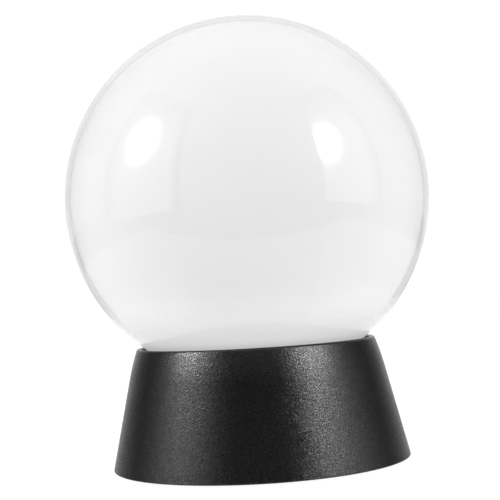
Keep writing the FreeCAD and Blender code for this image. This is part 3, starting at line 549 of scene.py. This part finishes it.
def resistor_material():
    """Chip resistors: glazed black film between tinned end caps on a white ceramic edge."""
    middle = groups("leds", 1)[0].length
    material, tree, output = new_material("resistor_film")
    where = place(tree)
    off = math_node(tree, "ABSOLUTE", minus(tree, length_of(tree, flat_part(tree, where)), middle))
    cap = ramp(tree, off, 1.12 * MM, 1.18 * MM)
    film = math_node(tree, "GREATER_THAN", face_part(tree, 2), 0.6)
    grain = noise(tree, where, 6000.0, 2.0)
    shade = mix_colour(tree, film, (0.72, 0.71, 0.68, 1), mix_colour(tree, grain, grey(0.012), grey(0.03)))
    shade = mix_colour(tree, cap, shade, TIN)
    plastic(tree, output, Base_Color=shade, Roughness=spread(tree, grain, 0.22, 0.36), Metallic=cap)
    return material


def capacitor_material():
    """Small can capacitor: dark sleeve with a pale stripe, bare aluminium top with a pressed cross."""
    low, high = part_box("board_capacitor")
    centre = (low + high) / 2
    material, tree, output = new_material("capacitor_sleeve")
    where = place(tree)
    local = vector_node(tree, "SUBTRACT", where, tuple(centre)).outputs[0]
    off_axis = length_of(tree, flat_part(tree, local))
    width = high.x - low.x
    top = times(tree, math_node(tree, "GREATER_THAN", part(tree, local, 2), high.z - centre.z - 0.12 * MM),
                math_node(tree, "LESS_THAN", off_axis, width / 2 - 0.28 * MM))
    mark = math_node(tree, "LESS_THAN", part(tree, local, 0), -width * 0.34)
    patch = noise(tree, where, 700.0, 3.0)
    sleeve = mix_colour(tree, patch, (0.008, 0.012, 0.05, 1), (0.014, 0.02, 0.075, 1))
    shade = mix_colour(tree, mark, sleeve, (0.55, 0.56, 0.60, 1))
    shade = mix_colour(tree, top, shade, (0.70, 0.71, 0.72, 1))
    cross = either(tree, *(stripe(tree, part(tree, local, axis), 0.0, 0.1 * MM) for axis in (0, 1)))
    pressed = put(tree, "ShaderNodeBump", {"invert": True}, Strength=1.0, Distance=0.08 * MM,
                  Height=times(tree, cross, top))
    plastic(tree, output, Base_Color=shade, Roughness=spread(tree, patch, 0.2, 0.32), Metallic=top,
            Normal=pressed.outputs[0])
    return material


# ---------------------------------------------------------------- meshes

def lathe(name, profile, around):
    """Turned mesh from a closed (radius, z) profile; points on the axis become poles."""
    mesh = bpy.data.meshes.new(name)
    shape = bmesh.new()
    rings = []
    for radius, z in profile:
        if radius < 1e-7:
            rings.append([shape.verts.new((0, 0, z))])
            continue
        ring = []
        for i in range(around):
            angle = 2 * math.pi * i / around
            ring.append(shape.verts.new((radius * math.cos(angle), radius * math.sin(angle), z)))
        rings.append(ring)
    for one, two in zip(rings, rings[1:] + rings[:1]):
        if len(one) == 1 and len(two) == 1:
            continue
        for i in range(around):
            j = (i + 1) % around
            if len(one) == 1:
                shape.faces.new((one[0], two[j], two[i]))
            elif len(two) == 1:
                shape.faces.new((one[i], one[j], two[0]))
            else:
                shape.faces.new((one[i], one[j], two[j], two[i]))
    bmesh.ops.recalc_face_normals(shape, faces=shape.faces)
    shape.to_mesh(mesh)
    shape.free()
    mesh.shade_smooth()
    mesh.set_sharp_from_angle(angle=LATHE_SHARP)
    made = bpy.data.objects.new(name, mesh)
    bpy.context.scene.collection.objects.link(made)
    return made


def arc(cx, cz, radius, start, end, steps):
    """Points on an arc, with angles in degrees from the +radius direction towards +Z."""
    points = []
    for i in range(steps + 1):
        angle = math.radians(start + (end - start) * i / steps)
        points.append((cx + radius * math.cos(angle), cz + radius * math.sin(angle)))
    return points


def globe_side(depth, steps):
    """One face of a globe wall, from the top pole down to the foot of the neck."""
    corner_r = NECK_R + NECK_BEND
    far = GLOBE_R + NECK_BEND
    corner_z = GLOBE_Z - math.sqrt(far ** 2 - corner_r ** 2)
    lean = math.degrees(math.asin(corner_r / far))
    ball = arc(0.0, GLOBE_Z, GLOBE_R - depth, 90.0, -90.0 + lean, steps)
    ball[0] = (0.0, GLOBE_Z + GLOBE_R - depth)
    bend = arc(corner_r, corner_z, NECK_BEND + depth, 90.0 + lean, 180.0, BEND_STEPS)
    drop = (NECK_END_Z - corner_z) / FOOT_STEPS
    foot = [(corner_r - NECK_BEND - depth, corner_z + drop * i) for i in range(1, FOOT_STEPS + 1)]
    return ball + bend[1:] + foot


def globe_wall(name, outer, inner, around, steps):
    """Closed ball wall with an open neck, between two depths below the globe's surface."""
    profile = globe_side(outer, steps) + list(reversed(globe_side(inner, steps)))
    return lathe(name, profile, around)


# ---------------------------------------------------------------- pieces

def make_globe():
    """Clear wall and milky skin, as finer meshes than the CAD ones."""
    clear = globe_wall("globe_glass", 0.0, SHELL_WALL, GLOBE_AROUND, GLOBE_UP)
    clear.data.materials.append(clear_material())
    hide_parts("globe_shell")
    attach(clear, "globe")
    depth = GLOBE_R - LINER_R
    milky = globe_wall("globe_skin", depth, depth + LINER_WALL, GLOBE_AROUND, GLOBE_UP // 2)
    milky.data.materials.append(opal_material())
    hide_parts("opal_liner")
    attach(milky, "globe")


def ring_section(node):
    """(radius, z) corners of a turned CAD node's section: inner low, outer low, outer high, inner high."""
    points = [(math.hypot(v.co.x, v.co.y), v.co.z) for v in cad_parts[node].data.vertices]
    inner, outer = min(p[0] for p in points), max(p[0] for p in points)
    at_inner = [z for r, z in points if r < inner + 0.1 * MM]
    at_outer = [z for r, z in points if r > outer - 0.1 * MM]
    return (inner, min(at_inner)), (outer, min(at_outer)), (outer, max(at_outer)), (inner, max(at_inner))


def make_seat_foam():
    """Foam ring under the globe: die-cut, with softly rounded edges and a slightly uneven face."""
    corners = ring_section("seat_gasket")
    profile = []
    for i in range(FOAM_SECTION):
        angle = 2 * math.pi * (i + 0.5) / FOAM_SECTION
        across = math.copysign(abs(math.cos(angle)) ** FOAM_SQUARE, math.cos(angle)) / 2 + 0.5
        rise = math.copysign(abs(math.sin(angle)) ** FOAM_SQUARE, math.sin(angle)) / 2 + 0.5
        weights = ((1 - across) * (1 - rise), across * (1 - rise), across * rise, (1 - across) * rise)
        blend = [sum(w * corner[axis] for w, corner in zip(weights, corners)) for axis in (0, 1)]
        profile.append(tuple(blend))
    foam = lathe("seat_foam", profile, GLOBE_AROUND)
    middle = Vector((sum(p[0] for p in profile), sum(p[1] for p in profile))) / len(profile)
    for vertex in foam.data.vertices:
        radius = math.hypot(vertex.co.x, vertex.co.y)
        sag = FOAM_UNEVEN * (1 + snoise.noise(vertex.co * 260.0)) / 2
        inward = (middle - Vector((radius, vertex.co.z))).normalized() * sag
        vertex.co.x *= 1 + inward.x / radius
        vertex.co.y *= 1 + inward.x / radius
        vertex.co.z += inward.y
    foam.data.materials.append(foam_material("seat_foam", (0.014, 0.014, 0.015, 1)))
    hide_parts("seat_gasket")
    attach(foam, "base")


def rounded_corner(x, y, half_x, half_y, corner):
    """Moves a point of a plain rectangle's grid so that the rectangle gets round corners."""
    over_x, over_y = abs(x) - (half_x - corner), abs(y) - (half_y - corner)
    if over_x <= 0 or over_y <= 0:
        return x, y
    pull = max(over_x, over_y) / math.hypot(over_x, over_y)
    moved_x, moved_y = half_x - corner + over_x * pull, half_y - corner + over_y * pull
    return math.copysign(moved_x, x), math.copysign(moved_y, y)


def make_door_foam():
    """Foam pad stuck to the door: rolled edges, and three hollows where the cells have pressed it."""
    low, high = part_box("door_pad")
    half_x, half_y, thick = (high.x - low.x) / 2, (high.y - low.y) / 2, high.z - low.z
    cells_low, cells_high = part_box("battery_cells")
    cell_r = (cells_high.z - cells_low.z) / 2
    rows = (-(cells_high.y - cell_r), 0.0, cells_high.y - cell_r)
    shape = bmesh.new()
    layers = []
    for side in (0, 1):
        layer = []
        for i in range(PAD_CELLS + 1):
            column = []
            for j in range(PAD_CELLS + 1):
                u, v = 2 * i / PAD_CELLS - 1, 2 * j / PAD_CELLS - 1
                x, y = rounded_corner(u * half_x, v * half_y, half_x, half_y, PAD_CORNER)
                rim = min(half_x - abs(u) * half_x, half_y - abs(v) * half_y)
                roll = thick * (PAD_ROLL_TOP if side else PAD_ROLL_UNDER) * math.exp(-rim / PAD_ROLL_WIDE)
                z = high.z - roll if side else low.z + roll
                if side:
                    press = max(math.exp(-((y - row) / (PAD_HOLLOW * cell_r)) ** 2) for row in rows)
                    z -= PAD_PRESS * press + FOAM_UNEVEN * (1 + snoise.noise(Vector((x, y, 0)) * 300.0)) / 2
                column.append(shape.verts.new((x, y, z)))
            layer.append(column)
        layers.append(layer)
    for side, layer in enumerate(layers):
        for i in range(PAD_CELLS):
            for j in range(PAD_CELLS):
                loop = (layer[i][j], layer[i + 1][j], layer[i + 1][j + 1], layer[i][j + 1])
                shape.faces.new(loop if side else tuple(reversed(loop)))
    border = [(i, 0) for i in range(PAD_CELLS)] + [(PAD_CELLS, j) for j in range(PAD_CELLS)]
    border += [(i, PAD_CELLS) for i in range(PAD_CELLS, 0, -1)] + [(0, j) for j in range(PAD_CELLS, 0, -1)]
    for (a, b), (c, d) in zip(border, border[1:] + border[:1]):
        shape.faces.new((layers[0][a][b], layers[0][c][d], layers[1][c][d], layers[1][a][b]))
    bmesh.ops.recalc_face_normals(shape, faces=shape.faces)
    mesh = bpy.data.meshes.new("door_foam")
    shape.to_mesh(mesh)
    shape.free()
    mesh.shade_smooth()
    mesh.set_sharp_from_angle(angle=PAD_SHARP)
    foam = bpy.data.objects.new("door_foam", mesh)
    bpy.context.scene.collection.objects.link(foam)
    mesh.materials.append(foam_material("door_foam", (0.020, 0.020, 0.021, 1), 0.45 * MM))
    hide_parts("door_pad")
    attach(foam, "battery_door")


def make_solder():
    """Solder fillets round the lamps' legs, under the lamp board."""
    board_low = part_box("led_board")[0].z
    leg_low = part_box("leds")[0].z
    cones = []
    for leg in groups("leds", 0):
        profile = [(0.0, leg_low - 0.05 * MM), (0.30 * MM, leg_low - 0.02 * MM),
                   (0.40 * MM, leg_low + 0.15 * MM), (0.48 * MM, leg_low + 0.40 * MM),
                   (0.68 * MM, board_low - 0.14 * MM), (0.95 * MM, board_low), (0.0, board_low)]
        cone = lathe("solder_joint", profile, 32)
        cone.data.transform(Matrix.Translation((leg.x, leg.y, 0.0)))
        cones.append(cone)
    joined = cones[0]
    with bpy.context.temp_override(active_object=joined, selected_editable_objects=cones):
        bpy.ops.object.join()
    joined.name = "solder_joints"
    joined.data.materials.append(metal_material("solder", (0.66, 0.66, 0.65, 1), 0.24))
    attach(joined, "base")


def dress(node, material):
    """Puts one material on a CAD node."""
    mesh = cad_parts[node].data
    for i in range(len(mesh.materials)):
        mesh.materials[i] = material


def dress_cad():
    """Materials of the CAD nodes that stay."""
    housing = eroded_material("eroded_black")
    plate = moulded_material("plate_plastic", (0.014, 0.014, 0.015), 0.42, 0.3 * MM, 0.03 * MM)
    steel = metal_material("zinc_steel", (0.62, 0.63, 0.66, 1), 0.32)
    dress("base_housing", housing)
    dress("globe_collar", moulded_material("collar_plastic", (0.02, 0.02, 0.02), 0.28))
    dress("light_deck", moulded_material("reflector_plastic", (0.8, 0.8, 0.78), 0.45, speck=0.03))
    for node in ("light_deck_screws", "led_board_screws", "door_screw", "switch_screws"):
        dress(node, steel)
    dress("bottom_plate_screws", metal_material("black_zinc", (0.08, 0.08, 0.085, 1), 0.3))
    dress("led_board", board_material())
    dress("leds", lamp_material())
    dress("driver_chip", chip_material())
    dress("board_resistors", resistor_material())
    dress("board_capacitor", capacitor_material())
    dress("bottom_plate", plate)
    dress("battery_door", plate)
    dress("rubber_feet", rubber_material())
    dress("battery_cells", cell_material())
    dress("contact_springs", metal_material("spring_wire", (0.72, 0.71, 0.68, 1), 0.22))
    for node in ("link_plates", "terminal_plates"):
        dress(node, metal_material("contact_nickel_" + node, (0.7, 0.68, 0.62, 1), 0.25))
    dress("screw_retainer", moulded_material("retainer_nylon", (0.6, 0.6, 0.55), 0.4, speck=0.05))
    dress("switch_housing", metal_material("switch_tin", (0.6, 0.6, 0.6, 1), 0.35))
    dress("switch_slider", moulded_material("slider_plastic", (0.02, 0.02, 0.02), 0.3))
    dress("lead_red", moulded_material("wire_red", (0.5, 0.015, 0.012), 0.35))
    dress("lead_black", moulded_material("wire_black", (0.015, 0.015, 0.015), 0.35))
    dress("lead_switch", moulded_material("wire_black_two", (0.015, 0.015, 0.015), 0.35))


# ---------------------------------------------------------------- studio

def towards(azimuth, elevation=0.0):
    """Direction from the object; azimuth is degrees round from the camera's side, right positive."""
    turn, tilt = math.radians(azimuth), math.radians(elevation)
    return Vector((math.sin(turn) * math.cos(tilt), -math.cos(turn) * math.cos(tilt), math.sin(tilt)))


def room_light(tree, way):
    """Brightness of the room in a direction: dark in front, dim at the sides, white behind and above."""
    back = part(tree, unit(tree, flat_part(tree, way)), 1)
    front = ramp(tree, back, ROOM_FRONT_ENDS, 0.0, ROOM_FRONT, ROOM_SIDE)
    behind = ramp(tree, back, ROOM_SIDE_ENDS, ROOM_BACK_FULL, 0.0, ROOM_BACK - ROOM_SIDE)
    top = ramp(tree, height_of(tree, unit(tree, way)), ROOM_TOP_STARTS, ROOM_TOP_FULL)
    return mix_value(tree, top, plus(tree, front, behind), ROOM_TOP)


def screen(name, inner, outer, hot, glow, lamp, spot, tall, edge):
    """Upright diffusing screen between two azimuths, seen only in reflections and by what it lights."""
    near, far = towards(inner) * SCREEN_FAR, towards(outer) * SCREEN_FAR
    corners = [near, far, far + Vector((0, 0, SCREEN_TOP)), near + Vector((0, 0, SCREEN_TOP))]
    mesh = bpy.data.meshes.new(name)
    mesh.from_pydata([tuple(c) for c in corners], [], [(0, 1, 2, 3)])
    card = bpy.data.objects.new(name, mesh)
    bpy.context.scene.collection.objects.link(card)
    card.visible_camera = False
    across = (far - near).normalized()
    facing = across.cross(Vector((0, 0, 1)))
    ray = towards(*hot)
    centre = Vector((0, 0, GLOBE_Z))
    middle = centre + ray * ((near - centre).dot(facing) / ray.dot(facing))
    material, tree, output = new_material(name)
    where = put(tree, "ShaderNodeNewGeometry").outputs["Position"]
    from_spot = vector_node(tree, "SUBTRACT", where, tuple(middle)).outputs[0]
    away = length_of(tree, vector_node(tree, "MULTIPLY", from_spot, (1.0, 1.0, 1.0 / tall)).outputs[0])
    hump = 0.0
    for size, share in ((spot, 1.0), (spot * HALO_SIZE, HALO_SHARE)):
        fall = times(tree, away, 1.0 / size)
        power = times(tree, times(tree, fall, fall), -1.0)
        hump = plus(tree, hump, times(tree, math_node(tree, "POWER", math.e, power), share))
    side = vector_node(tree, "DOT_PRODUCT", where, tuple(across)).outputs["Value"]
    first = near.dot(across)
    last = first + (far - near).length
    start = ramp(tree, side, first, first + edge)
    end = ramp(tree, side, first + (last - first) * SCREEN_FULL_WIDE, last, 1.0, 0.0)
    top = ramp(tree, height_of(tree, where), SCREEN_TOP * SCREEN_FULL_HIGH, SCREEN_TOP, 1.0, 0.0)
    lit = times(tree, start, times(tree, end, top))
    from_globe = vector_node(tree, "SUBTRACT", where, tuple(centre)).outputs[0]
    wash = mix_value(tree, lit, room_light(tree, from_globe), glow)
    spot_light = times(tree, times(tree, hump, start), lamp)
    shine = put(tree, "ShaderNodeEmission", Color=grey(1), Strength=plus(tree, wash, spot_light))
    tree.links.new(shine.outputs[0], output.inputs[0])
    mesh.materials.append(material)


def make_world():
    """White room to the camera; to other rays, dark in front, dim at the sides, white behind and above."""
    world = bpy.data.worlds.new("white_room")
    bpy.context.scene.world = world
    world.use_nodes = True
    tree = world.node_tree
    tree.nodes.clear()
    output = tree.nodes.new("ShaderNodeOutputWorld")
    room = room_light(tree, put(tree, "ShaderNodeTexCoord").outputs["Generated"])
    strength = by_ray(tree, room, BACKDROP)
    glow = put(tree, "ShaderNodeBackground", Color=grey(1), Strength=strength)
    tree.links.new(glow.outputs[0], output.inputs[0])


def make_floor():
    """Pale table top, open from below. In reflections it ends at its edges and is shaded in front."""
    half = FLOOR_HALF
    corners = [(-half, -half, 0), (half, -half, 0), (half, half, 0), (-half, half, 0)]
    mesh = bpy.data.meshes.new("floor")
    mesh.from_pydata(corners, [], [(0, 1, 2, 3)])
    floor = bpy.data.objects.new("floor", mesh)
    bpy.context.scene.collection.objects.link(floor)
    floor.location.z = -FLOOR_DROP
    material, tree, output = new_material("pale_floor")
    geometry = put(tree, "ShaderNodeNewGeometry")
    where = geometry.outputs["Position"]
    across = math_node(tree, "ABSOLUTE", part(tree, where, 0))
    front = times(tree, part(tree, where, 1), -1.0)
    near_front = ramp(tree, front, TABLE_FRONT - TABLE_EDGE, TABLE_FRONT + TABLE_EDGE, 1.0, 0.0)
    near_side = ramp(tree, across, TABLE_SIDE - TABLE_EDGE, TABLE_SIDE + TABLE_SIDE_FADE, 1.0, 0.0)
    angle = math_node(tree, "ARCTAN2", across, front)
    edge = math.radians(TABLE_SHADE_ANGLE)
    shade = ramp(tree, angle, edge - TABLE_SHADE_SOFT, edge + TABLE_SHADE_SOFT,
                 TABLE_SHADE * TABLE_GLOW, TABLE_GLOW)
    clear_of_base = ramp(tree, length_of(tree, where), BASE_LOW_R, BASE_LOW_R + TABLE_SHADE_OFF)
    shade = mix_value(tree, clear_of_base, TABLE_GLOW, shade)
    on_table = times(tree, near_front, near_side)
    seen = mix_value(tree, on_table, room_light(tree, flat_part(tree, where)), shade)
    strength = by_ray(tree, seen, TABLE_WHITE, TABLE_SEEN_THROUGH)
    to_camera = put(tree, "ShaderNodeLightPath").outputs["Is Camera Ray"]
    lit = put(tree, "ShaderNodeBsdfDiffuse", Color=mix_colour(tree, to_camera, grey(0), grey(TABLE_LIT)))
    glow = put(tree, "ShaderNodeEmission", Color=grey(1), Strength=strength)
    top = put(tree, "ShaderNodeAddShader", i0=lit.outputs[0], i1=glow.outputs[0])
    under = put(tree, "ShaderNodeBsdfTransparent")
    mixed = put(tree, "ShaderNodeMixShader", i0=geometry.outputs["Backfacing"], i1=top.outputs[0],
                i2=under.outputs[0])
    tree.links.new(mixed.outputs[0], output.inputs[0])
    mesh.materials.append(material)


def make_camera():
    """Camera at the viewing angle, a little above the table and rolled."""
    data = bpy.data.cameras.new("camera")
    data.lens = CAMERA_LENS
    data.sensor_width = 36.0
    camera = bpy.data.objects.new("camera", data)
    bpy.context.scene.collection.objects.link(camera)
    tilt = math.radians(CAMERA_ELEVATION)
    spot = Vector((0, -CAMERA_FAR * math.cos(tilt), GLOBE_Z + CAMERA_FAR * math.sin(tilt)))
    look = (Vector((0, 0, CAMERA_AIM_Z)) - spot).to_track_quat("-Z", "Y").to_matrix().to_4x4()
    roll = Matrix.Rotation(math.radians(-CAMERA_ROLL), 4, "Z")
    camera.matrix_world = Matrix.Translation(spot) @ look @ roll
    data.clip_start = 0.01
    bpy.context.scene.camera = camera


def studio():
    """Camera, room, floor and the two screens."""
    scene = bpy.context.scene
    scene.view_settings.view_transform = "Standard"
    scene.cycles.use_denoising = True
    scene.cycles.max_bounces = 12
    scene.cycles.transparent_max_bounces = 16
    make_world()
    make_floor()
    for name, settings in SCREENS.items():
        screen(name, **settings)
    make_camera()


make_globe()
make_seat_foam()
make_door_foam()
make_solder()
dress_cad()
studio()
